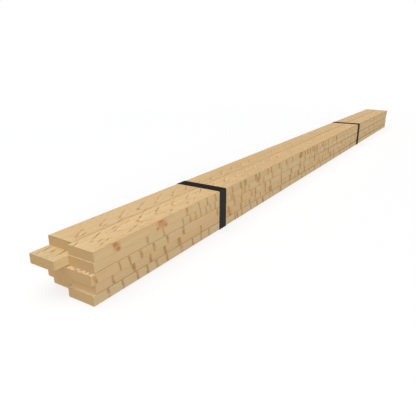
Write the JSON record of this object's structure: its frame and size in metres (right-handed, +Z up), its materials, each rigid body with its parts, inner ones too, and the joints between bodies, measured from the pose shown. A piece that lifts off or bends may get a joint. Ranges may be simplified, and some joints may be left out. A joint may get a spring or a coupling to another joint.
{
  "type": "bundle of architrave boards",
  "caption": "Strapped bundle of long plain square-edge pine boards, stacked in two columns, stock for door and window architraves.",
  "frame": {"origin": "on the floor, under the middle of the bundle", "axes": "+X along the boards from the near end to the far end, +Y from the front column to the back column, +Z up"},
  "size_m": [2.239, 0.1182, 0.0922],
  "materials": {
    "pine": "planed, bare",
    "strap": "matte"
  },
  "bodies": {
    "root": {"front_board_1": "pine", "front_board_2": "pine", "front_board_3": "pine", "front_board_4": "pine", "front_board_5": "pine", "back_board_1": "pine", "back_board_2": "pine", "back_board_3": "pine", "back_board_4": "pine", "back_board_5": "pine", "near_strap": "strap", "far_strap": "strap"}
  },
  "joints": []
}
